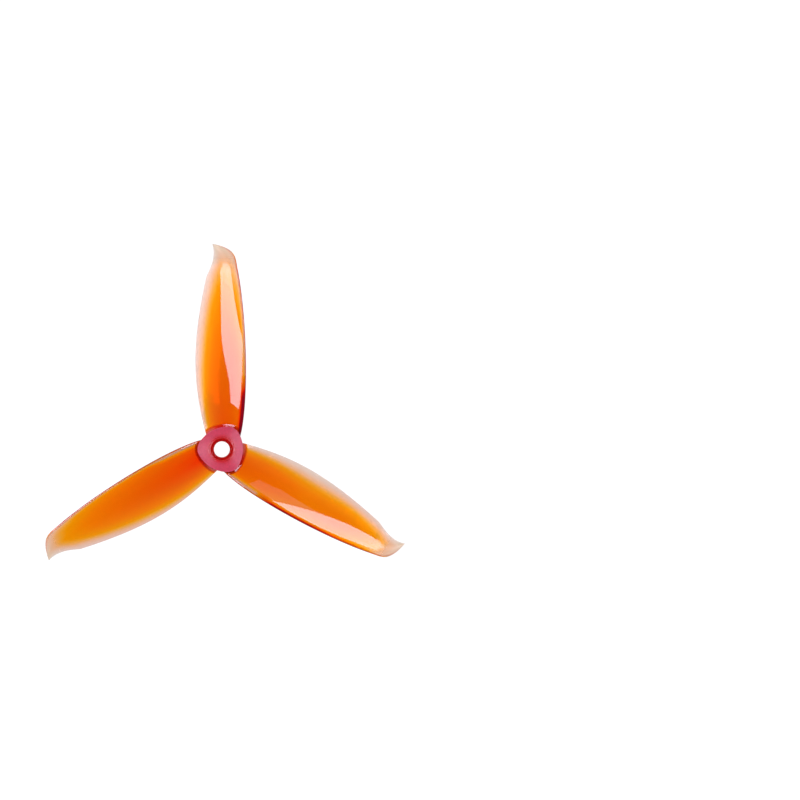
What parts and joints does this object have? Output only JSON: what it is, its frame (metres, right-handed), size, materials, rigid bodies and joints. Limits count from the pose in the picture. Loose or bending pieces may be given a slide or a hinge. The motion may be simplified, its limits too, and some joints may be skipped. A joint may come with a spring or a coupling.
{
  "type": "propeller",
  "caption": "Small racing multirotor propeller in translucent orange plastic, with broad twisted blades, hooked tips and a short round hub with a plain shaft bore.",
  "frame": {"origin": "on the shaft axis at the middle of the hub's height", "axes": "+Z along the shaft axis towards the lock nut, the side that the thrust points to; +Y along the first blade"},
  "size_m": [0.113, 0.0997, 0.0078],
  "materials": {
    "hub_plastic": "translucent, frosted on the flat top",
    "blade_plastic": "translucent, polished"
  },
  "bodies": {
    "root": {"hub": "hub_plastic", "blade_1": "blade_plastic", "blade_2": "blade_plastic", "blade_3": "blade_plastic"}
  },
  "joints": []
}
